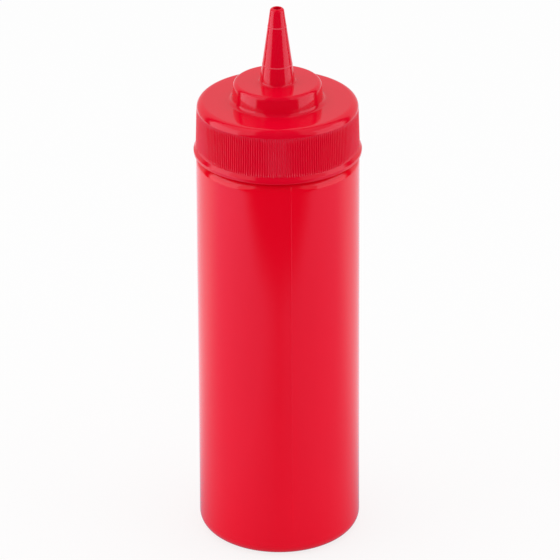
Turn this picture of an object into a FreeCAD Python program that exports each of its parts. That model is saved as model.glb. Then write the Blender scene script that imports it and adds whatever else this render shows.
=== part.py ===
import FreeCAD
import Part
import os
import Sketcher

# Cone tip squeeze bottle: a moulded bottle, and the closure that seals on its neck.
#
# Every piece is a PartDesign body about the Z axis. The bottle stands on Z = 0 with its
# axis through the origin. All driving sizes, in millimetres, are in the Sizes sheet.

SIZES = (
    # the bottle
    ("body_r", 28.6, "outer radius of the bottle where its shoulder starts"),
    ("base_spread", 0.4, "how much wider than body_r the foot of the wall is"),
    ("base_round", 4.6, "radius of the corner at the base"),
    ("shoulder_z", 146.4, "height at which the shoulder meets the neck"),
    ("shoulder_round", 3.5, "radius of the shoulder"),
    ("neck_inset", 2.6, "step in from body_r to the neck"),
    ("neck_height", 18.1, "height of the neck above the shoulder"),
    ("neck_edge", 0.6, "chamfer on the rim of the neck"),
    # how the cap fits the bottle
    ("neck_gap", 0.4, "radial clearance between the neck and the recess of the cap"),
    ("rim_gap", 0.4, "clearance between the shoulder and the lower rim of the cap"),
    # the cap
    ("cap_plate", 1.6, "thickness of the top of the cap over the neck"),
    ("skirt_wall", 2.25, "wall of the skirt at its foot"),
    ("skirt_lean", 0.55, "how much narrower the skirt is at its top"),
    ("cap_round", 2.7, "radius of the upper edge of the cap"),
    ("bead_out", 0.75, "how far the bead stands out from the skirt"),
    ("bead_height", 1.2, "height of the straight face of the bead"),
    ("bead_slope", 1.0, "height of the slope from the bead up to the skirt"),
    ("bead_round", 0.3, "radius of the lower edge of the bead"),
    ("rib_count", 208, "number of grip grooves around the skirt"),
    ("rib_depth", 0.25, "depth of a grip groove"),
    ("rib_width", 0.7, "width of a grip groove"),
    # the step on the cap
    ("step_r", 15.9, "radius of the step at its foot"),
    ("step_lean", 0.7, "how much narrower the step is at its top"),
    ("step_height", 7.0, "height of the step above the top of the cap"),
    ("step_round", 1.5, "radius of the upper edge of the step"),
    ("step_foot", 1.6, "radius of the fillet at the foot of the step"),
    # the cone and the passage through it
    ("cone_foot_r", 6.15, "radius of the cone at its foot"),
    ("cone_height", 27.1, "height of the cone above the step"),
    ("tip_r", 2.36, "radius of the cone at its tip"),
    ("tip_round", 1.0, "radius of the outer edge of the tip"),
    ("cone_foot", 0.8, "radius of the fillet at the foot of the cone"),
    ("orifice_r", 1.4, "radius of the passage through the cone and the cap"),
    ("trim_low_z", 6.6, "height of the lower trim line above the foot of the cone"),
    ("trim_high_z", 20.6, "height of the upper trim line above the foot of the cone"),
    ("trim_out", 0.1, "how far a trim line stands out from the cone"),
    ("trim_width", 0.4, "width of a trim line at the surface of the cone"),
)

# radii and heights that follow from the sizes
NECK_R = "Sizes.body_r - Sizes.neck_inset"
NECK_TOP = "Sizes.shoulder_z + Sizes.neck_height"
RECESS_R = NECK_R + " + Sizes.neck_gap"
SKIRT_R = RECESS_R + " + Sizes.skirt_wall"
SKIRT_TOP_R = SKIRT_R + " - Sizes.skirt_lean"
BEAD_R = SKIRT_R + " + Sizes.bead_out"
RIM_Z = "Sizes.shoulder_z + Sizes.rim_gap"
BEAD_Z = RIM_Z + " + Sizes.bead_height"
SKIRT_Z = BEAD_Z + " + Sizes.bead_slope"
CAP_Z = NECK_TOP + " + Sizes.cap_plate"
STEP_TOP_R = "Sizes.step_r - Sizes.step_lean"
STEP_Z = CAP_Z + " + Sizes.step_height"
TIP_Z = STEP_Z + " + Sizes.cone_height"


def write_sheet(doc):
    """Put every driving size in a cell of the sheet, under its alias."""
    sheet = doc.addObject("Spreadsheet::Sheet", "Sizes")
    for row, (alias, value, note) in enumerate(SIZES, start=1):
        sheet.set("A%d" % row, alias)
        sheet.set("B%d" % row, str(value))
        sheet.set("C%d" % row, note)
        sheet.setAlias("B%d" % row, alias)
    doc.recompute()
    return sheet


def work_out(doc, expression):
    """Return the value of an expression of the sheet's sizes."""
    result = doc.Sizes.evalExpression(expression)
    return float(getattr(result, "Value", result))


def origin_plane(body, role):
    """Return the origin plane of a body that has the given role."""
    for feature in body.Origin.OriginFeatures:
        if feature.Role == role:
            return feature
    raise ValueError("no origin plane " + role)


def new_sketch(body, name, role):
    """Add an empty sketch on one of the body's own origin planes."""
    sketch = body.newObject("Sketcher::SketchObject", name)
    sketch.AttachmentSupport = [(origin_plane(body, role), "")]
    sketch.MapMode = "FlatFace"
    return sketch


def hold(sketch, kind, line, value, expression):
    """Hold the start of a line at the distance from the origin that an expression gives."""
    number = sketch.addConstraint(Sketcher.Constraint(kind, -1, 1, line, 1, value))
    sketch.setExpression("Constraints[%d]" % number, expression)


def draw_outline(sketch, corners, arcs=()):
    """Draw a closed outline whose corners are held by (across, up) expressions.

    An across or up of None puts the corner on that axis of the sketch. arcs names the sides
    that are round and bulge outwards, as a dictionary of side number and radius expression.
    """
    doc = sketch.Document
    arcs = dict(arcs)
    places = []
    for across, up in corners:
        flat = [0.0 if item is None else work_out(doc, item) for item in (across, up)]
        places.append(FreeCAD.Vector(flat[0], flat[1], 0))
    count = len(corners)
    for side in range(count):
        start = places[side]
        end = places[(side + 1) % count]
        if side in arcs:
            radius = work_out(doc, arcs[side])
            sketch.addGeometry(bulge(start, end, radius), False)
        else:
            sketch.addGeometry(Part.LineSegment(start, end), False)
    for side in range(count):
        after = (side + 1) % count
        sketch.addConstraint(Sketcher.Constraint("Coincident", side, 2, after, 1))
    for side, (across, up) in enumerate(corners):
        if across is None:
            sketch.addConstraint(Sketcher.Constraint("PointOnObject", side, 1, -2))
        else:
            hold(sketch, "DistanceX", side, places[side].x, across)
        if up is None:
            sketch.addConstraint(Sketcher.Constraint("PointOnObject", side, 1, -1))
        else:
            hold(sketch, "DistanceY", side, places[side].y, up)
    for side, radius in arcs.items():
        number = sketch.addConstraint(Sketcher.Constraint("Radius", side, work_out(doc, radius)))
        sketch.setExpression("Constraints[%d]" % number, radius)
    doc.recompute()
    return sketch


def bulge(start, end, radius):
    """Return the arc of a radius from start to end, anticlockwise as an outline is drawn."""
    middle = (start + end) * 0.5
    chord = end - start
    offset = (radius ** 2 - (chord.Length / 2) ** 2) ** 0.5
    inwards = FreeCAD.Vector(-chord.y, chord.x, 0).normalize()
    crown = middle + inwards * (offset - radius)
    return Part.Arc(start, crown, end)


def revolve(body, kind, sketch, name):
    """Turn a half section about the Z axis, as a solid or as a cut."""
    turn = body.newObject(kind, name)
    turn.Profile = sketch
    turn.ReferenceAxis = (sketch, ["V_Axis"])
    turn.Angle = 360.0
    body.Document.recompute()
    return turn


def circles_at(shape, radius, height):
    """Name the round edges of a shape that have this radius and lie at this height."""
    near = 0.01
    names = []
    for number, edge in enumerate(shape.Edges, start=1):
        curve = edge.Curve
        if not isinstance(curve, Part.Circle):
            continue
        if abs(curve.Center.z - height) < near and abs(curve.Radius - radius) < near:
            names.append("Edge%d" % number)
    return names


def soften(body, kind, name, size, radius, height):
    """Fillet or chamfer the round edge at a radius and a height, all given as expressions."""
    doc = body.Document
    base = body.Tip
    edges = circles_at(base.Shape, work_out(doc, radius), work_out(doc, height))
    if not edges:
        raise ValueError("no edge for " + name)
    feature = body.newObject("PartDesign::" + kind, name)
    feature.Base = (base, edges)
    feature.setExpression("Radius" if kind == "Fillet" else "Size", size)
    doc.recompute()
    return feature


def build_bottle(doc):
    """Build the closed bottle: a slightly spread wall, a round shoulder and a plain neck."""
    body = doc.addObject("PartDesign::Body", "Bottle")
    body.Label = "bottle"
    foot_r = "Sizes.body_r + Sizes.base_spread"
    # the arc leaves the wall upright and ends where it meets the neck
    arc_rise = "sqrt(Sizes.shoulder_round ^ 2 - (Sizes.shoulder_round - Sizes.neck_inset) ^ 2)"
    wall_top = "Sizes.shoulder_z - " + arc_rise
    corners = [
        (None, None),
        (foot_r, None),
        ("Sizes.body_r", wall_top),
        (NECK_R, "Sizes.shoulder_z"),
        (NECK_R, NECK_TOP),
        (None, NECK_TOP),
    ]
    section = new_sketch(body, "BottleSection", "XZ_Plane")
    draw_outline(section, corners, {2: "Sizes.shoulder_round"})
    revolve(body, "PartDesign::Revolution", section, "BottleForm")
    soften(body, "Fillet", "BaseCorner", "Sizes.base_round", foot_r, "0")
    soften(body, "Chamfer", "NeckRim", "Sizes.neck_edge", NECK_R, NECK_TOP)
    return body


def build_cap(doc):
    """Build the closure: a ribbed skirt with a bead, a step and a cone with its passage."""
    body = doc.addObject("PartDesign::Body", "Cap")
    body.Label = "cap"
    corners = [
        (RECESS_R, RIM_Z),
        (BEAD_R, RIM_Z),
        (BEAD_R, BEAD_Z),
        (SKIRT_R, SKIRT_Z),
        (SKIRT_TOP_R, CAP_Z),
        ("Sizes.step_r", CAP_Z),
        (STEP_TOP_R, STEP_Z),
        ("Sizes.cone_foot_r", STEP_Z),
        ("Sizes.tip_r", TIP_Z),
        (None, TIP_Z),
        (None, NECK_TOP),
        (RECESS_R, NECK_TOP),
    ]
    section = new_sketch(body, "CapSection", "XZ_Plane")
    draw_outline(section, corners)
    revolve(body, "PartDesign::Revolution", section, "CapForm")
    soften(body, "Fillet", "CapEdge", "Sizes.cap_round", SKIRT_TOP_R, CAP_Z)
    soften(body, "Fillet", "StepFoot", "Sizes.step_foot", "Sizes.step_r", CAP_Z)
    soften(body, "Fillet", "StepEdge", "Sizes.step_round", STEP_TOP_R, STEP_Z)
    soften(body, "Fillet", "ConeFoot", "Sizes.cone_foot", "Sizes.cone_foot_r", STEP_Z)
    soften(body, "Fillet", "TipEdge", "Sizes.tip_round", "Sizes.tip_r", TIP_Z)
    soften(body, "Fillet", "BeadEdge", "Sizes.bead_round", BEAD_R, RIM_Z)
    raise_trim(body, "LowerTrim", "Sizes.trim_low_z")
    raise_trim(body, "UpperTrim", "Sizes.trim_high_z")
    cut_passage(body)
    cut_ribs(body)
    return body


def raise_trim(body, name, rise):
    """Raise a fine trim line around the cone, where its tip can be cut off for a wider hole."""
    whole = body.Tip.Shape.Volume
    # the radius of the cone falls evenly from its foot to its tip
    slope = "(Sizes.cone_foot_r - Sizes.tip_r) / Sizes.cone_height"
    radius = "Sizes.cone_foot_r - %s * %s" % (slope, rise)
    middle = STEP_Z + " + " + rise
    # the line is rooted as far inside the cone as it stands out, and is twice as wide there
    corners = [
        (radius + " - Sizes.trim_out", middle + " - Sizes.trim_width"),
        (radius + " + Sizes.trim_out", middle),
        (radius + " - Sizes.trim_out", middle + " + Sizes.trim_width"),
    ]
    section = new_sketch(body, name + "Section", "XZ_Plane")
    draw_outline(section, corners)
    line = revolve(body, "PartDesign::Revolution", section, name)
    if line.Shape.Volume <= whole:
        raise ValueError(name + " adds nothing")
    return line


def cut_round(body, section, name):
    """Cut a half section out all round, and stop if it removes nothing."""
    whole = body.Tip.Shape.Volume
    groove = revolve(body, "PartDesign::Groove", section, name)
    if groove.Shape.Volume >= whole:
        raise ValueError(name + " cuts nothing")
    return groove


def cut_passage(body):
    """Cut the passage straight down from the tip through the top of the cap."""
    section = new_sketch(body, "PassageSection", "XZ_Plane")
    # the cut starts and ends clear of the cap
    low = NECK_TOP + " - Sizes.cap_plate"
    high = TIP_Z + " + Sizes.cap_plate"
    corners = [
        (None, low),
        ("Sizes.orifice_r", low),
        ("Sizes.orifice_r", high),
        (None, high),
    ]
    draw_outline(section, corners)
    return cut_round(body, section, "Passage")


def cut_ribs(body):
    """Cut one tapering grip groove in the skirt and repeat it all round."""
    doc = body.Document
    whole = body.Tip.Shape.Volume
    # the skirt leans in evenly from the top of the bead to the top of the cap
    lean = "Sizes.skirt_lean / (%s - (%s))" % (CAP_Z, SKIRT_Z)
    top_z = CAP_Z + " - Sizes.cap_round"
    top_r = "%s - %s * (%s - (%s))" % (SKIRT_R, lean, top_z, SKIRT_Z)
    ends = []
    for name, level, radius in (("RibFoot", SKIRT_Z, SKIRT_R), ("RibTop", top_z, top_r)):
        sketch = new_sketch(body, name, "XY_Plane")
        sketch.setExpression("AttachmentOffset.Base.z", level)
        draw_groove(sketch, radius)
        ends.append(sketch)
    groove = body.newObject("PartDesign::SubtractiveLoft", "RibGroove")
    groove.Profile = ends[0]
    groove.Sections = [ends[1]]
    groove.Ruled = True
    doc.recompute()
    pattern = body.newObject("PartDesign::PolarPattern", "Ribs")
    pattern.Originals = [groove]
    pattern.Axis = (ends[0], ["N_Axis"])
    pattern.Angle = 360.0
    pattern.setExpression("Occurrences", "Sizes.rib_count")
    body.Tip = pattern
    doc.recompute()
    if body.Tip.Shape.Volume >= whole:
        raise ValueError("the grip grooves cut nothing")


def draw_groove(sketch, radius):
    """Draw the V of a grip groove on the X axis, open towards the outside."""
    doc = sketch.Document
    # the mouth lies as far outside the skirt as the root lies inside, and is twice as wide
    depth = radius + " - Sizes.rib_depth"
    mouth = radius + " + Sizes.rib_depth"
    half = work_out(doc, "Sizes.rib_width")
    root = FreeCAD.Vector(work_out(doc, depth), 0, 0)
    low = FreeCAD.Vector(work_out(doc, mouth), -half, 0)
    high = FreeCAD.Vector(work_out(doc, mouth), half, 0)
    sketch.addGeometry(Part.LineSegment(root, low), False)
    sketch.addGeometry(Part.LineSegment(low, high), False)
    sketch.addGeometry(Part.LineSegment(high, root), False)
    for side in range(3):
        sketch.addConstraint(Sketcher.Constraint("Coincident", side, 2, (side + 1) % 3, 1))
    sketch.addConstraint(Sketcher.Constraint("PointOnObject", 0, 1, -1))
    hold(sketch, "DistanceX", 0, root.x, depth)
    hold(sketch, "DistanceX", 1, low.x, mouth)
    sketch.addConstraint(Sketcher.Constraint("Symmetric", 1, 1, 1, 2, -1))
    number = sketch.addConstraint(Sketcher.Constraint("DistanceY", 1, 1, 1, 2, 2 * half))
    sketch.setExpression("Constraints[%d]" % number, "2 * Sizes.rib_width")
    doc.recompute()


def check(doc, pieces):
    """Stop if any object failed or any piece has no valid single solid."""
    for item in doc.Objects:
        if "Invalid" in item.State or "Error" in item.State:
            raise RuntimeError("failed object " + item.Name)
    for piece in pieces:
        shape = piece.Shape
        if shape.isNull() or not shape.isValid() or len(shape.Solids) != 1:
            raise RuntimeError("bad shape " + piece.Label)


def main():
    """Build the document, check it and write one file for each piece."""
    doc = FreeCAD.newDocument("ConeTipSqueezeBottle")
    write_sheet(doc)
    pieces = [build_bottle(doc), build_cap(doc)]
    doc.recompute()
    check(doc, pieces)
    os.makedirs("parts", exist_ok=True)
    for piece in pieces:
        piece.Shape.exportStep("parts/%s.step" % piece.Label)


main()
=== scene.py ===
"""A red squeeze bottle with a ribbed closure and a cone tip, standing on pale paper."""

import logging
import math
from dataclasses import dataclass
from enum import Enum
from typing import Any, Callable, Sequence

import bmesh
import bpy
from mathutils import Matrix, Vector, noise


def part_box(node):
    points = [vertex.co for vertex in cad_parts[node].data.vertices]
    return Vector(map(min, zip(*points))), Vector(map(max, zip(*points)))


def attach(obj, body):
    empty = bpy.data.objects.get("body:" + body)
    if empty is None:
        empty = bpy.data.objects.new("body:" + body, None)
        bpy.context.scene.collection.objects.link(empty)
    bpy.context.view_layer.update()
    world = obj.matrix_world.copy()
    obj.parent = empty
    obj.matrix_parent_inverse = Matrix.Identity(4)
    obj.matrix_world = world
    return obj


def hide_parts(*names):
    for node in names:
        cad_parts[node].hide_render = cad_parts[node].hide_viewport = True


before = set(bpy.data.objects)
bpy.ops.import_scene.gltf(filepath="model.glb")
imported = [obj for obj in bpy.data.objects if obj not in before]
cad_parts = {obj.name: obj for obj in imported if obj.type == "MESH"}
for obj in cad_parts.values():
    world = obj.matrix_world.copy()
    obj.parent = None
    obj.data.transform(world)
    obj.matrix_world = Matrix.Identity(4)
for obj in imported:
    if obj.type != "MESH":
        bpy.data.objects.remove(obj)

LOG = logging.getLogger("squeeze_bottle")

MM = 0.001
FULL_TURN = 2.0 * math.pi
SHARP_ANGLE = math.radians(55.0)
ON_AXIS = 0.001 * MM
WHITE = (1.0, 1.0, 1.0, 1.0)
BLACK = (0.0, 0.0, 0.0, 1.0)

Colour = tuple[float, float, float, float]
Span = tuple[float, float]


class Slot(Enum):
    """The record's material slots."""

    BOTTLE = "bottle_red"
    CAP = "cap_red"


# ---------------------------------------------------------------------------
# half sections and turned meshes


@dataclass(frozen=True)
class Corner:
    """A corner of a half section: its place, the radius of its rounding, and the rows across that."""

    radius: float
    height: float
    rounding: float = 0.0
    rows: int = 8

    def place(self) -> Vector:
        """Return the corner as a point of the half section."""
        return Vector((self.radius, self.height))


@dataclass
class Section:
    """The half section that a piece is turned from."""

    corners: list[Corner]
    closed: bool
    longest: float = 1.5 * MM

    def rows(self) -> list[Vector]:
        """Return the points of the half section, with its corners rounded and its long runs divided.

        Returns:
            Points as radius and height, in order along the section.
        """
        points: list[Vector] = []
        for number in range(len(self.corners)):
            points.extend(self.turn(number))
        return self.divide(points)

    def turn(self, number: int) -> list[Vector]:
        """Round one corner.

        Args:
            number: The corner's number in the section.

        Returns:
            The corner itself where it is sharp, else the points of its arc.
        """
        corner = self.corners[number]
        at = corner.place()
        if corner.rounding == 0.0:
            return [at]
        back = (self.corners[number - 1].place() - at).normalized()
        ahead = (self.corners[(number + 1) % len(self.corners)].place() - at).normalized()
        half = back.angle(ahead) / 2.0
        centre = at + (back + ahead).normalized() * (corner.rounding / math.sin(half))
        reach = corner.rounding / math.tan(half)
        first = at + back * reach - centre
        last = at + ahead * reach - centre
        sweep = math.pi - 2.0 * half
        points = []
        for step in range(corner.rows + 1):
            part = step / corner.rows
            lead = math.sin((1.0 - part) * sweep) / math.sin(sweep)
            trail = math.sin(part * sweep) / math.sin(sweep)
            points.append(centre + first * lead + last * trail)
        return points

    def divide(self, points: list[Vector]) -> list[Vector]:
        """Divide every run that is longer than the longest step.

        Args:
            points: The points of the section.

        Returns:
            The same points with even steps between those that were far apart.
        """
        ends = points[1:] + points[:1] if self.closed else points[1:]
        divided: list[Vector] = []
        for start, end in zip(points, ends):
            steps = max(1, math.ceil((end - start).length / self.longest))
            divided.extend(start.lerp(end, step / steps) for step in range(steps))
        if not self.closed:
            divided.append(points[-1])
        return divided


@dataclass
class Turning:
    """Turns a half section about the upright axis into one closed mesh.

    The shift moves a point in or out, by its azimuth and its place in the section. Rows that are
    fine have each space between two columns split into equal parts.
    """

    section: Section
    columns: list[float]
    shift: Callable[[float, Vector], float]
    split: int = 1
    fine: Callable[[Vector], bool] = lambda point: False

    def build(self, name: str) -> bpy.types.Object:
        """Build the mesh and put it in the scene.

        Args:
            name: The name of the new object.

        Returns:
            The object, smooth all over except across hard edges.
        """
        form = bmesh.new()
        rings = [self.ring(form, point) for point in self.section.rows()]
        pairs = list(zip(rings, rings[1:]))
        if self.section.closed:
            pairs.append((rings[-1], rings[0]))
        for lower, upper in pairs:
            self.skin(form, lower, upper)
        bmesh.ops.recalc_face_normals(form, faces=form.faces)
        mesh = bpy.data.meshes.new(name)
        form.to_mesh(mesh)
        form.free()
        mesh.shade_smooth()
        mesh.set_sharp_from_angle(angle=SHARP_ANGLE)
        piece = bpy.data.objects.new(name, mesh)
        bpy.context.scene.collection.objects.link(piece)
        normals = piece.modifiers.new("EvenShading", "WEIGHTED_NORMAL")
        normals.keep_sharp = True
        return piece

    def ring(self, form: bmesh.types.BMesh, point: Vector) -> list[bmesh.types.BMVert]:
        """Add the points of one row.

        Args:
            form: The mesh being built.
            point: The row's radius and height.

        Returns:
            The points around the axis, or the one point of a row that lies on the axis.
        """
        radius, height = point
        if radius < ON_AXIS:
            return [form.verts.new((0.0, 0.0, height))]
        azimuths = self.split_columns() if self.fine(point) else self.columns
        verts = []
        for azimuth in azimuths:
            reach = radius + self.shift(azimuth, point)
            verts.append(form.verts.new((reach * math.cos(azimuth), reach * math.sin(azimuth), height)))
        return verts

    def split_columns(self) -> list[float]:
        """Split the spaces between the columns.

        Returns:
            The azimuths of a fine row.
        """
        ends = self.columns[1:] + [self.columns[0] + FULL_TURN]
        return [
            start + (end - start) * part / self.split
            for start, end in zip(self.columns, ends)
            for part in range(self.split)
        ]

    def skin(
        self,
        form: bmesh.types.BMesh,
        lower: list[bmesh.types.BMVert],
        upper: list[bmesh.types.BMVert],
    ) -> None:
        """Join two rows with faces.

        Args:
            form: The mesh being built.
            lower: The points of one row.
            upper: The points of the next row.
        """
        few, many = sorted((lower, upper), key=len)
        ratio = len(many) // len(few)
        if len(few) == 1:
            for number, vert in enumerate(many):
                form.faces.new((few[0], vert, many[(number + 1) % len(many)]))
            return
        for number, vert in enumerate(few):
            first = number * ratio
            run = [many[(first + step) % len(many)] for step in range(ratio + 1)]
            form.faces.new((few[(number + 1) % len(few)], vert, *run))


# ---------------------------------------------------------------------------
# nodes


class Wiring:
    """Adds nodes to one node tree and joins them."""

    def __init__(self, tree: bpy.types.NodeTree) -> None:
        """Keep the tree and empty it."""
        self.tree = tree
        tree.nodes.clear()

    def add(self, kind: str, values: dict[str | int, Any] | None = None, **settings: Any) -> bpy.types.Node:
        """Add a node.

        Args:
            kind: The node's type.
            values: What its inputs are set or joined to, by input name or number.
            settings: What its own properties are set to.

        Returns:
            The new node.
        """
        node = self.tree.nodes.new(kind)
        for name, value in settings.items():
            setattr(node, name, value)
        for name, value in (values or {}).items():
            self.feed(node, name, value)
        return node

    def feed(self, node: bpy.types.Node, name: str | int, value: Any) -> None:
        """Join an output to an input, or set the input to a plain value.

        Args:
            node: The node that has the input.
            name: The input's name or number.
            value: An output socket, or the value to set.
        """
        if isinstance(value, bpy.types.NodeSocket):
            self.tree.links.new(value, node.inputs[name])
        else:
            node.inputs[name].default_value = value

    def sum(self, kind: str, first: Any, second: Any) -> bpy.types.NodeSocket:
        """Work out one step of arithmetic.

        Args:
            kind: The operation, such as MULTIPLY.
            first: The first number or output.
            second: The second number or output.

        Returns:
            The output with the result.
        """
        node = self.add("ShaderNodeMath", operation=kind)
        self.feed(node, 0, first)
        self.feed(node, 1, second)
        return node.outputs[0]

    def blend(self, factor: Any, first: Any, second: Any, kind: str = "MIX") -> bpy.types.NodeSocket:
        """Mix two colours.

        Args:
            factor: How much of the second there is.
            first: The first colour or output.
            second: The second colour or output.
            kind: How they are mixed, such as MULTIPLY.

        Returns:
            The output with the mixed colour.
        """
        node = self.add("ShaderNodeMix", data_type="RGBA", blend_type=kind)
        self.feed(node, "Factor", factor)
        # a colour mix keeps its two colours in the inputs numbered 6 and 7
        self.feed(node, 6, first)
        self.feed(node, 7, second)
        return node.outputs[2]

    def fade(
        self, value: bpy.types.NodeSocket, over: Span, levels: Span = (0.0, 1.0), kind: str = "SMOOTHSTEP"
    ) -> bpy.types.NodeSocket:
        """Turn a value into a level that goes from one end to the other over a span of it.

        Args:
            value: The value.
            over: Where the change starts and ends.
            levels: The level before the change and after it.
            kind: SMOOTHSTEP for soft ends, or LINEAR for an even change.

        Returns:
            The output with the level.
        """
        ends = {"From Min": over[0], "From Max": over[1], "To Min": levels[0], "To Max": levels[1]}
        node = self.add("ShaderNodeMapRange", {"Value": value, **ends}, interpolation_type=kind)
        return node.outputs[0]

    def speckle(
        self, vector: bpy.types.NodeSocket, scale: Any, detail: float, roughness: float
    ) -> bpy.types.NodeSocket:
        """Add a noise.

        Args:
            vector: The place that the noise is read at.
            scale: How fine it is.
            detail: How many finer layers lie on it.
            roughness: How strong those layers are.

        Returns:
            The output with the noise, about a half on average.
        """
        values = {"Vector": vector, "Scale": scale, "Detail": detail, "Roughness": roughness}
        return self.add("ShaderNodeTexNoise", values).outputs["Fac"]

    def place(self) -> bpy.types.NodeSocket:
        """Return the output with the place on the object."""
        return self.add("ShaderNodeTexCoord").outputs["Object"]

    def axes(self, vector: bpy.types.NodeSocket) -> bpy.types.NodeOutputs:
        """Return the outputs with the three parts of a vector."""
        return self.add("ShaderNodeSeparateXYZ", {0: vector}).outputs


def new_group(name: str, inputs: dict[str, Any], outputs: dict[str, str]) -> bpy.types.NodeTree:
    """Make an empty shader node group.

    Args:
        name: The group's name.
        inputs: The start value of each input, by name: a number or a colour.
        outputs: The socket type of each output, by name.

    Returns:
        The group's node tree.
    """
    group = bpy.data.node_groups.new(name, "ShaderNodeTree")
    for label, value in inputs.items():
        kind = "NodeSocketFloat" if isinstance(value, float) else "NodeSocketColor"
        socket = group.interface.new_socket(name=label, in_out="INPUT", socket_type=kind)
        socket.default_value = value
    for label, kind in outputs.items():
        group.interface.new_socket(name=label, in_out="OUTPUT", socket_type=kind)
    return group


@dataclass(frozen=True)
class PigmentMottle:
    """How the pigment varies: soft clouds, and streaks drawn out upright by the flow."""

    cloud_scale: float = 40.0
    streak_scale: float = 260.0
    streak_draw: tuple[float, float, float] = (1.0, 1.0, 0.04)

    def build(self) -> bpy.types.NodeTree:
        """Build the group.

        Returns:
            The group, with Colour, Depth, Cloud Scale and Streaks in, and Colour out.
        """
        group = new_group(
            "PigmentMottle",
            {
                "Colour": (0.5, 0.0, 0.0, 1.0),
                "Depth": 0.05,
                "Cloud Scale": self.cloud_scale,
                "Streaks": 0.5,
            },
            {"Colour": "NodeSocketColor"},
        )
        wires = Wiring(group)
        given = wires.add("NodeGroupInput").outputs
        place = wires.place()
        clouds = wires.speckle(place, given["Cloud Scale"], 3.0, 0.55)
        drawn = wires.add("ShaderNodeMapping", {"Vector": place, "Scale": self.streak_draw})
        streaks = wires.speckle(drawn.outputs[0], self.streak_scale, 2.0, 0.5)
        streaks_only = wires.sum("SUBTRACT", streaks, 0.5)
        streak_part = wires.sum("MULTIPLY", streaks_only, given["Streaks"])
        tone = wires.sum("ADD", clouds, streak_part)
        swing = wires.sum("SUBTRACT", tone, 0.5)
        gain = wires.sum("MULTIPLY", swing, given["Depth"])
        value = wires.sum("ADD", gain, 1.0)
        tinted = wires.add("ShaderNodeHueSaturation", {"Color": given["Colour"], "Value": value})
        wires.add("NodeGroupOutput", {"Colour": tinted.outputs["Color"]})
        return group


@dataclass(frozen=True)
class MouldedSkin:
    """The skin of moulded plastic: fine grain, upright drag marks, and a sheen that handling changes."""

    handling_scale: float = 90.0
    grain_scale: float = 1500.0
    drag_scale: float = 420.0
    drag_draw: tuple[float, float, float] = (1.0, 1.0, 0.03)

    def build(self) -> bpy.types.NodeTree:
        """Build the group.

        Returns:
            The group, with Roughness, Spread, Grain Scale and Drag in, and Roughness and Height out.
        """
        group = new_group(
            "MouldedSkin",
            {"Roughness": 0.2, "Spread": 0.04, "Grain Scale": self.grain_scale, "Drag": 0.3},
            {"Roughness": "NodeSocketFloat", "Height": "NodeSocketFloat"},
        )
        wires = Wiring(group)
        given = wires.add("NodeGroupInput").outputs
        place = wires.place()
        handling = wires.speckle(place, self.handling_scale, 4.0, 0.6)
        grain = wires.speckle(place, given["Grain Scale"], 2.0, 0.5)
        drawn = wires.add("ShaderNodeMapping", {"Vector": place, "Scale": self.drag_draw})
        drag = wires.speckle(drawn.outputs[0], self.drag_scale, 2.0, 0.4)
        swing = wires.sum("SUBTRACT", handling, 0.5)
        change = wires.sum("MULTIPLY", swing, given["Spread"])
        roughness = wires.sum("ADD", given["Roughness"], change)
        dragged = wires.sum("MULTIPLY", drag, given["Drag"])
        height = wires.sum("ADD", grain, dragged)
        wires.add("NodeGroupOutput", {"Roughness": roughness, "Height": height})
        return group


@dataclass
class Effects:
    """The node groups that both finishes use, built once."""

    mottle: bpy.types.NodeTree
    skin: bpy.types.NodeTree


# ---------------------------------------------------------------------------
# the finishes


@dataclass(frozen=True)
class RedPolyethylene:
    """Glossy red polyethylene, blown or moulded, with duller level lines painted paler as a highlight."""

    name: str
    colour: Colour
    roughness: float
    depth: float
    streaks: float
    drag: float
    relief: float = 0.002 * MM
    lines: tuple[float, ...] = ()
    line_width: float = 0.4 * MM
    line_roughness: float = 0.55
    # the paler colour of the level lines is a painted highlight
    line_highlight_colour: Colour = (0.84, 0.055, 0.085, 1.0)
    ior: float = 1.5
    glint: Colour = (1.0, 0.75, 0.92, 1.0)

    def build(self, effects: Effects) -> bpy.types.Material:
        """Build the material.

        Args:
            effects: The shared node groups.

        Returns:
            The material.
        """
        material = bpy.data.materials.new(self.name)
        material.use_nodes = True
        material.diffuse_color = self.colour
        wires = Wiring(material.node_tree)
        pigment = wires.add(
            "ShaderNodeGroup",
            {"Colour": self.colour, "Depth": self.depth, "Streaks": self.streaks},
            node_tree=effects.mottle,
        )
        surface = wires.add(
            "ShaderNodeGroup",
            {"Roughness": self.roughness, "Drag": self.drag},
            node_tree=effects.skin,
        )
        bump = wires.add(
            "ShaderNodeBump",
            {"Height": surface.outputs["Height"], "Strength": 1.0, "Distance": self.relief},
        )
        colour = pigment.outputs["Colour"]
        roughness = surface.outputs["Roughness"]
        if self.lines:
            on_line = self.line_mask(wires)
            # the paler colour on the lines is a painted highlight; their higher roughness is a real duller
            # finish
            colour = wires.blend(on_line, colour, self.line_highlight_colour)
            dull = wires.sum("MULTIPLY", on_line, self.line_roughness)
            roughness = wires.sum("MAXIMUM", roughness, dull)
        shader = wires.add(
            "ShaderNodeBsdfPrincipled",
            {
                "Base Color": colour,
                "Roughness": roughness,
                "IOR": self.ior,
                "Specular Tint": self.glint,
                "Normal": bump.outputs["Normal"],
            },
        )
        wires.add("ShaderNodeOutputMaterial", {"Surface": shader.outputs["BSDF"]})
        return material

    def line_mask(self, wires: Wiring) -> bpy.types.NodeSocket:
        """Mark the level lines.

        Args:
            wires: The wiring of the material.

        Returns:
            One on the lines and nought away from them.
        """
        height = wires.axes(wires.place())["Z"]
        mask: Any = 0.0
        for line in self.lines:
            off = wires.sum("ABSOLUTE", wires.sum("SUBTRACT", height, line), 0.0)
            near = wires.sum("LESS_THAN", off, self.line_width / 2.0)
            mask = wires.sum("MAXIMUM", near, mask)
        return mask


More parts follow.
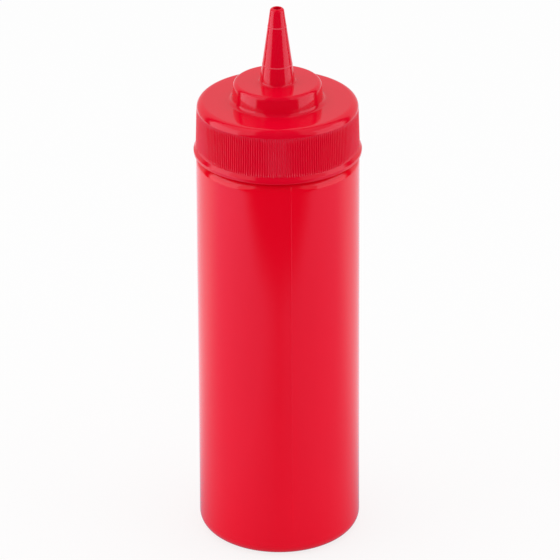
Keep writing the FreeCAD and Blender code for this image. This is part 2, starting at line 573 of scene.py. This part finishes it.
@dataclass(frozen=True)
class PalePaper:
    """Matt paper that looks white, and that is graded from side to side and front to back in reflections.

    The levels are how bright a reflection of the paper is. They go from the left to the right, and
    the paper is darkest in front of the middle.
    """

    colour: Colour = (0.86, 0.86, 0.86, 1.0)
    white_share: float = 0.8
    across: Span = (-0.35, 0.35)
    front_levels: tuple[Span, ...] = ((0.0, 0.85), (0.4, 0.45), (0.5, 0.2), (0.6, 0.36), (1.0, 0.55))
    front_tint: Colour = (1.0, 1.0, 1.35, 1.0)
    back_left: Colour = (1.1, 1.1, 1.17, 1.0)
    back_right: Colour = (0.85, 0.85, 0.92, 1.0)
    front_fade: Span = (-0.29, -0.21)
    back_fade: Span = (-0.04, 0.1)

    def build(self) -> bpy.types.Material:
        """Build the material.

        Returns:
            The material, which shows one side to the eye and another to a reflection.
        """
        material = bpy.data.materials.new("PalePaper")
        material.use_nodes = True
        material.cycles.emission_sampling = "NONE"
        wires = Wiring(material.node_tree)
        rays = wires.add("ShaderNodeLightPath").outputs
        matt = wires.add("ShaderNodeBsdfDiffuse", {"Color": self.colour}).outputs[0]
        white = wires.add("ShaderNodeEmission", {"Color": WHITE}).outputs[0]
        seen = wires.add("ShaderNodeMixShader", {0: self.white_share, 1: matt, 2: white}).outputs[0]
        mirrored = wires.add("ShaderNodeEmission", {"Color": self.mirrored_tone(wires)}).outputs[0]
        first = wires.add("ShaderNodeMixShader", {0: rays["Is Camera Ray"], 1: matt, 2: seen})
        second = wires.add(
            "ShaderNodeMixShader", {0: rays["Is Glossy Ray"], 1: first.outputs[0], 2: mirrored}
        )
        wires.add("ShaderNodeOutputMaterial", {"Surface": second.outputs[0]})
        return material

    def mirrored_tone(self, wires: Wiring) -> bpy.types.NodeSocket:
        """Work out the tone that the paper has in reflections.

        Args:
            wires: The wiring of the material.

        Returns:
            The output with the tone.
        """
        axes = wires.axes(wires.place())
        across = wires.fade(axes["X"], self.across, kind="LINEAR")
        ramp = wires.add("ShaderNodeValToRGB", {"Fac": across})
        self.fill_ramp(ramp, self.front_levels)
        front = wires.fade(axes["Y"], self.front_fade)
        back = wires.fade(axes["Y"], self.back_fade)
        near = wires.blend(front, BLACK, ramp.outputs["Color"])
        cool = wires.blend(1.0, near, self.front_tint, "MULTIPLY")
        far = wires.blend(across, self.back_left, self.back_right)
        return wires.blend(back, cool, far)

    def fill_ramp(self, node: bpy.types.Node, stops: Sequence[Span]) -> None:
        """Set the grey stops of a colour ramp.

        Args:
            node: The ramp node.
            stops: Place and level of each stop.
        """
        elements = node.color_ramp.elements
        while len(elements) < len(stops):
            elements.new(0.5)
        for element, (position, level) in zip(elements, stops):
            element.position = position
            element.color = (level, level, level, 1.0)


# ---------------------------------------------------------------------------
# the object


class Piece:
    """A visible piece of the object, which stands for one CAD node."""

    node: str
    slot: Slot

    def form(self) -> bpy.types.Object:
        """Build the piece's mesh."""
        raise NotImplementedError

    def finish(self) -> RedPolyethylene:
        """Return what the piece is made of."""
        raise NotImplementedError

    def build(self, effects: Effects) -> None:
        """Build the piece, dress it and put it in the place of its CAD node.

        Args:
            effects: The shared node groups.
        """
        piece = self.form()
        piece.data.materials.append(self.finish().build(effects))
        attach(piece, "root")
        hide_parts(self.node)
        LOG.info("%s: %d points, %d faces", piece.name, len(piece.data.vertices), len(piece.data.polygons))


@dataclass
class Bottle(Piece):
    """The blown bottle: an upright wall that spreads a little to its foot, a round shoulder and a neck."""

    low: Vector
    high: Vector
    node: str = "bottle"
    slot: Slot = Slot.BOTTLE
    wall_inset: float = 0.4 * MM
    foot_round: float = 4.6 * MM
    neck_inset: float = 2.6 * MM
    neck_height: float = 18.1 * MM
    neck_edge: float = 0.6 * MM
    shoulder_round: float = 3.5 * MM
    shoulder_share: float = 0.999
    row_height: float = 1.2 * MM
    wave_depth: float = 0.05 * MM
    wave_pitch: float = 13.0 * MM
    wave_length: float = 30.0 * MM
    seam_azimuth: float = math.radians(-81.1)
    seam_height: float = 0.09 * MM
    seam_half_width: float = 0.3 * MM
    seam_clear: float = 1.2
    seam_fade: float = 30.0 * MM
    column_count: int = 256

    @property
    def foot_r(self) -> float:
        """Radius of the foot before its corner is rounded."""
        return self.high.x

    @property
    def wall_r(self) -> float:
        """Radius of the wall at the shoulder."""
        return self.foot_r - self.wall_inset

    @property
    def shoulder_z(self) -> float:
        """Height at which the shoulder meets the neck."""
        return self.high.z - self.neck_height

    def section(self) -> Section:
        """Lay out the half section.

        Returns:
            The section, from the middle of the base to the middle of the neck's top.
        """
        neck_r = self.wall_r - self.neck_inset
        # the shoulder is an arc that leaves the wall upright and stops at the neck
        sweep = math.acos(1.0 - self.neck_inset / self.shoulder_round)
        rise = self.shoulder_round * math.sin(sweep)
        apex = self.shoulder_z - rise + self.shoulder_round * math.tan(sweep / 2.0)
        # a hair under the whole rounding leaves a short run between the arc and the neck
        shoulder = self.shoulder_round * self.shoulder_share
        return Section(
            [
                Corner(0.0, self.low.z),
                Corner(self.foot_r, self.low.z, self.foot_round, rows=14),
                Corner(self.wall_r, apex, shoulder, rows=18),
                Corner(neck_r, self.shoulder_z),
                Corner(neck_r, self.high.z, self.neck_edge, rows=3),
                Corner(0.0, self.high.z),
            ],
            closed=False,
            longest=self.row_height,
        )

    def columns(self) -> list[float]:
        """Set out the columns.

        Returns:
            Their azimuths: even ones, with a few close together on each parting line.
        """
        beside = [part * self.seam_half_width / 2.0 for part in (-2, -1, 0, 1, 2)]
        lines = [self.seam_azimuth % FULL_TURN, (self.seam_azimuth + math.pi) % FULL_TURN]
        close = [line + step / self.wall_r for line in lines for step in beside]
        clear = self.seam_clear * self.seam_half_width / self.wall_r
        even = [FULL_TURN * number / self.column_count for number in range(self.column_count)]
        kept = [angle for angle in even if min(abs(angle - line) for line in lines) > clear]
        return sorted(kept + close)

    def shift(self, azimuth: float, point: Vector) -> float:
        """Return how far the surface stands off the plain form.

        Args:
            azimuth: The direction from the axis.
            point: The place in the half section.

        Returns:
            The depth of the waves of a blown wall, and the height of its parting line.
        """
        height = point.y
        if height < self.foot_round or height > self.shoulder_z:
            return 0.0
        fade = min(1.0, (height - self.foot_round) / self.seam_fade)
        around = self.wall_r / self.wave_pitch
        spot = Vector(
            (around * math.cos(azimuth), around * math.sin(azimuth), height / self.wave_length)
        )
        wave = -self.wave_depth * fade * (0.5 + 0.5 * noise.noise(spot))
        off = math.remainder(azimuth - self.seam_azimuth, math.pi) * self.wall_r
        ridge = max(0.0, 1.0 - abs(off) / self.seam_half_width)
        return wave + self.seam_height * fade * ridge

    def form(self) -> bpy.types.Object:
        """Build the bottle's mesh."""
        return Turning(self.section(), self.columns(), self.shift).build("bottle_shell")

    def finish(self) -> RedPolyethylene:
        """Return the blown plastic, which the mould and the flow leave streaky."""
        return RedPolyethylene(
            name="BlownRed",
            colour=(0.875, 0.001, 0.016, 1.0),
            roughness=0.09,
            depth=0.05,
            streaks=0.6,
            drag=0.5,
        )


@dataclass
class Cap(Piece):
    """The moulded closure: a ribbed skirt on a bead, a step, and a cone with a passage through it."""

    low: Vector
    high: Vector
    neck_top: float
    node: str = "cap"
    slot: Slot = Slot.CAP
    skirt_wall: float = 2.25 * MM
    plate: float = 1.6 * MM
    skirt_lean: float = 0.55 * MM
    edge_round: float = 2.7 * MM
    edge_share: float = 0.99
    bead_out: float = 0.75 * MM
    bead_height: float = 1.2 * MM
    bead_slope: float = 1.0 * MM
    bead_round: float = 0.3 * MM
    rib_count: int = 208
    rib_split: int = 8
    rib_depth: float = 0.25 * MM
    rib_width: float = 0.7 * MM
    rib_runout: float = 0.3 * MM
    rib_spare: float = 0.01 * MM
    step_r: float = 15.9 * MM
    step_lean: float = 0.7 * MM
    step_height: float = 7.0 * MM
    step_round: float = 1.5 * MM
    step_foot: float = 1.6 * MM
    cone_foot_r: float = 6.15 * MM
    cone_foot: float = 0.8 * MM
    tip_r: float = 2.36 * MM
    tip_round: float = 1.0 * MM
    orifice_r: float = 1.4 * MM
    orifice_edge: float = 0.15 * MM
    trim_rises: Span = (6.6 * MM, 20.6 * MM)
    trim_out: float = 0.05 * MM
    trim_width: float = 0.4 * MM
    trim_rows: tuple[float, ...] = (-0.8, -0.5, 0.0, 0.5, 0.8)

    @property
    def skirt_r(self) -> float:
        """Radius of the skirt at its foot."""
        return self.high.x - self.bead_out

    @property
    def recess_r(self) -> float:
        """Radius of the recess that takes the neck."""
        return self.skirt_r - self.skirt_wall

    @property
    def skirt_z(self) -> float:
        """Height at which the skirt rises from the bead."""
        return self.low.z + self.bead_height + self.bead_slope

    @property
    def top_z(self) -> float:
        """Height of the top of the cap around the step."""
        return self.neck_top + self.plate

    @property
    def step_z(self) -> float:
        """Height of the top of the step."""
        return self.top_z + self.step_height

    @property
    def rib_top(self) -> float:
        """Height at which the grip ribs end."""
        return self.top_z - self.edge_round

    @property
    def trim_levels(self) -> tuple[float, ...]:
        """Heights of the trim lines."""
        return tuple(self.step_z + rise for rise in self.trim_rises)

    def skirt_at(self, height: float) -> float:
        """Return the radius of the leaning skirt at a height."""
        part = (height - self.skirt_z) / (self.top_z - self.skirt_z)
        return self.skirt_r - self.skirt_lean * part

    def cone_at(self, height: float) -> float:
        """Return the radius of the cone at a height."""
        part = (height - self.step_z) / (self.high.z - self.step_z)
        return self.cone_foot_r + (self.tip_r - self.cone_foot_r) * part

    def skirt(self) -> list[Corner]:
        """Lay out the ribbed skirt.

        Returns:
            Its corners, with a short run-out at each end of the ribs.
        """
        heights = (
            self.skirt_z,
            self.skirt_z + self.rib_runout,
            self.rib_top - self.rib_runout,
            self.rib_top,
        )
        return [Corner(self.skirt_at(height), height) for height in heights]

    def trims(self) -> list[Corner]:
        """Lay out the fine raised lines where the cone's tip can be cut off.

        Returns:
            Their corners. Those beside a line keep its shading off the plain wall.
        """
        corners = []
        for middle in self.trim_levels:
            for part in self.trim_rows:
                level = middle + part * self.trim_width
                out = self.trim_out if part == 0.0 else 0.0
                corners.append(Corner(self.cone_at(level) + out, level))
        return corners

    def section(self) -> Section:
        """Lay out the closed half section.

        Returns:
            The section, from the rim up over the cone and down through the passage.
        """
        # a hair under the whole rounding leaves a short run between the arc and the ribs
        edge = self.edge_round * self.edge_share
        return Section(
            [
                Corner(self.recess_r, self.low.z),
                Corner(self.high.x, self.low.z, self.bead_round, rows=5),
                Corner(self.high.x, self.low.z + self.bead_height, self.bead_round, rows=4),
                *self.skirt(),
                Corner(self.skirt_at(self.top_z), self.top_z, edge, rows=14),
                Corner(self.step_r, self.top_z, self.step_foot, rows=12),
                Corner(self.step_r - self.step_lean, self.step_z, self.step_round, rows=10),
                Corner(self.cone_foot_r, self.step_z, self.cone_foot, rows=8),
                *self.trims(),
                Corner(self.tip_r, self.high.z, self.tip_round, rows=8),
                Corner(self.orifice_r, self.high.z, self.orifice_edge, rows=3),
                Corner(self.orifice_r, self.neck_top),
                Corner(self.recess_r, self.neck_top),
            ],
            closed=True,
        )

    def columns(self) -> list[float]:
        """Return one azimuth for each rib."""
        return [FULL_TURN * number / self.rib_count for number in range(self.rib_count)]

    def ribbed(self, point: Vector) -> bool:
        """Tell whether a row of the section lies on the ribs."""
        on_skirt = self.skirt_z - self.rib_spare < point.y < self.rib_top + self.rib_spare
        return on_skirt and point.x > self.recess_r + self.skirt_wall / 2.0

    def shift(self, azimuth: float, point: Vector) -> float:
        """Return how far the surface is set in by the grip grooves.

        Args:
            azimuth: The direction from the axis.
            point: The place in the half section.

        Returns:
            The depth of the groove there, below nought, or nought away from the skirt.
        """
        inside = min(point.y - self.skirt_z, self.rib_top - point.y)
        if inside <= 0.0 or not self.ribbed(point):
            return 0.0
        pitch = FULL_TURN / self.rib_count
        off = abs(math.remainder(azimuth, pitch)) * self.skirt_r
        groove = max(0.0, 1.0 - 2.0 * off / self.rib_width)
        return -self.rib_depth * groove * min(1.0, inside / self.rib_runout)

    def form(self) -> bpy.types.Object:
        """Build the closure's mesh."""
        turning = Turning(self.section(), self.columns(), self.shift, self.rib_split, self.ribbed)
        return turning.build("cap_shell")

    def finish(self) -> RedPolyethylene:
        """Return the moulded plastic, with a painted highlight and a duller finish on its trim lines."""
        return RedPolyethylene(
            name="MouldedRed",
            colour=(0.79, 0.001, 0.02, 1.0),
            roughness=0.1,
            depth=0.04,
            streaks=0.0,
            drag=0.0,
            lines=self.trim_levels,
        )


# ---------------------------------------------------------------------------
# the studio


@dataclass(frozen=True)
class Softbox:
    """An upright softbox that stands at a bearing from the front and faces the object."""

    side: str
    bearing: float
    power: float
    distance: float = 1.25
    width: float = 1.15
    height: float = 1.3
    centre: float = 0.4

    def build(self) -> None:
        """Hang the softbox."""
        data = bpy.data.lights.new("softbox_" + self.side, "AREA")
        data.shape = "RECTANGLE"
        data.size = self.width
        data.size_y = self.height
        data.energy = self.power
        lamp = bpy.data.objects.new("softbox_" + self.side, data)
        lamp.location = (
            self.distance * math.sin(self.bearing),
            -self.distance * math.cos(self.bearing),
            self.centre,
        )
        lamp.rotation_euler = (math.pi / 2.0, 0.0, self.bearing)
        lamp.visible_camera = False
        bpy.context.scene.collection.objects.link(lamp)


@dataclass(frozen=True)
class Surround:
    """The world: white to look at, soft light on the object, and bright panels in its reflections.

    The panels stand at both sides. Their inner edge runs out towards the front and in below, and
    they end above the floor and before the back.
    """

    low_light: float = 0.56
    high_light: float = 1.22
    light_heading: tuple[float, float, float] = (-0.08, 0.17, 0.98)
    back_level: float = 0.6
    back_fade: Span = (0.42, 0.55)
    side_level: float = 0.9
    side_fade: Span = (0.17, 0.27)
    side_spread: float = 0.37
    draw_in_below: float = 0.3
    draw_in: float = 0.68
    side_floor: float = -0.42
    side_end: Span = (0.26, 0.34)
    right_level: float = 0.58
    right_fade: Span = (-0.1, 0.1)

    def build(self) -> None:
        """Build the world."""
        world = bpy.data.worlds.new("Surround")
        bpy.context.scene.world = world
        world.use_nodes = True
        # lamp rays carry no ray kind, so the light must come from the surface's own rays
        world.cycles.sampling_method = "NONE"
        wires = Wiring(world.node_tree)
        rays = wires.add("ShaderNodeLightPath").outputs
        heading = wires.add("ShaderNodeTexCoord").outputs["Generated"]
        facing = wires.add(
            "ShaderNodeVectorMath", {0: heading, 1: self.light_heading}, operation="DOT_PRODUCT"
        )
        levels = (self.low_light, self.high_light)
        soft = wires.fade(facing.outputs["Value"], (0.0, 1.0), levels, "LINEAR")
        lit = wires.blend(rays["Is Glossy Ray"], soft, self.mirrored_tone(wires, wires.axes(heading)))
        shown = wires.blend(rays["Is Camera Ray"], lit, WHITE)
        background = wires.add("ShaderNodeBackground", {"Color": shown}).outputs[0]
        wires.add("ShaderNodeOutputWorld", {"Surface": background})

    def mirrored_tone(self, wires: Wiring, axes: bpy.types.NodeOutputs) -> bpy.types.NodeSocket:
        """Work out how bright the surround is in reflections.

        Args:
            wires: The wiring of the world.
            axes: The three parts of the direction that is looked in.

        Returns:
            The output with the tone.
        """
        aside = wires.sum("ABSOLUTE", axes["X"], 0.0)
        wide = wires.sum("ADD", aside, wires.sum("MULTIPLY", axes["Y"], self.side_spread))
        below = wires.sum("MAXIMUM", wires.sum("SUBTRACT", self.draw_in_below, axes["Z"]), 0.0)
        beyond = wires.sum("SUBTRACT", wide, wires.sum("MULTIPLY", below, self.draw_in))
        side = wires.fade(beyond, self.side_fade, (0.0, self.side_level))
        dimmer = wires.fade(axes["X"], self.right_fade, (1.0, self.right_level), "LINEAR")
        above = wires.sum("GREATER_THAN", axes["Z"], self.side_floor)
        rear = wires.fade(axes["Y"], self.side_end, (1.0, 0.0))
        tall = wires.sum("MULTIPLY", wires.sum("MULTIPLY", side, dimmer), above)
        panels = wires.sum("MULTIPLY", tall, rear)
        level = self.back_level
        return wires.blend(wires.fade(axes["Y"], self.back_fade), panels, (level, level, level, 1.0))


@dataclass
class Studio:
    """Pale paper, two softboxes, a plain surround and the camera."""

    paper_front: float = -0.3
    paper_back: float = 1.6
    paper_half_width: float = 0.42
    paper: PalePaper = PalePaper()
    surround: Surround = Surround()
    softboxes: tuple[Softbox, ...] = (
        Softbox("left", math.radians(-80.0), 4.8),
        Softbox("right", math.radians(79.0), 4.6),
    )
    camera_place: tuple[float, float, float] = (0.00056, -1.276, 0.7185)
    camera_pitch: float = math.radians(25.993)
    camera_roll: float = math.radians(-0.29)
    lens: float = 257.44
    sensor: float = 36.0
    farthest: float = 20.0

    def build_camera(self) -> None:
        """Set up the camera."""
        data = bpy.data.cameras.new("Camera")
        data.lens = self.lens
        data.sensor_width = self.sensor
        data.clip_end = self.farthest
        camera = bpy.data.objects.new("Camera", data)
        camera.location = self.camera_place
        tilt = Matrix.Rotation(math.pi / 2.0 - self.camera_pitch, 3, "X")
        camera.rotation_euler = (tilt @ Matrix.Rotation(self.camera_roll, 3, "Z")).to_euler()
        bpy.context.scene.collection.objects.link(camera)
        bpy.context.scene.camera = camera

    def build_paper(self) -> None:
        """Lay the paper that the bottle stands on."""
        form = bmesh.new()
        corners = [
            (-self.paper_half_width, self.paper_front, 0.0),
            (self.paper_half_width, self.paper_front, 0.0),
            (self.paper_half_width, self.paper_back, 0.0),
            (-self.paper_half_width, self.paper_back, 0.0),
        ]
        form.faces.new([form.verts.new(corner) for corner in corners])
        mesh = bpy.data.meshes.new("paper")
        form.to_mesh(mesh)
        form.free()
        paper = bpy.data.objects.new("paper", mesh)
        bpy.context.scene.collection.objects.link(paper)
        mesh.materials.append(self.paper.build())

    def build(self) -> None:
        """Build the whole studio and set how its colours are shown."""
        self.build_camera()
        self.build_paper()
        self.surround.build()
        for softbox in self.softboxes:
            softbox.build()
        bpy.context.scene.view_settings.view_transform = "Standard"
        LOG.info("studio: paper, surround, %d softboxes and the camera", len(self.softboxes))


# ---------------------------------------------------------------------------


def main() -> None:
    """Build the studio and both pieces."""
    logging.basicConfig(level=logging.INFO, format="%(name)s %(message)s")
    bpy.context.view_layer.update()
    Studio().build()
    effects = Effects(PigmentMottle().build(), MouldedSkin().build())
    bottle = Bottle(*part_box("bottle"))
    bottle.build(effects)
    cap = Cap(*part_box("cap"), neck_top=bottle.high.z)
    cap.build(effects)


if __name__ == "__main__":
    main()
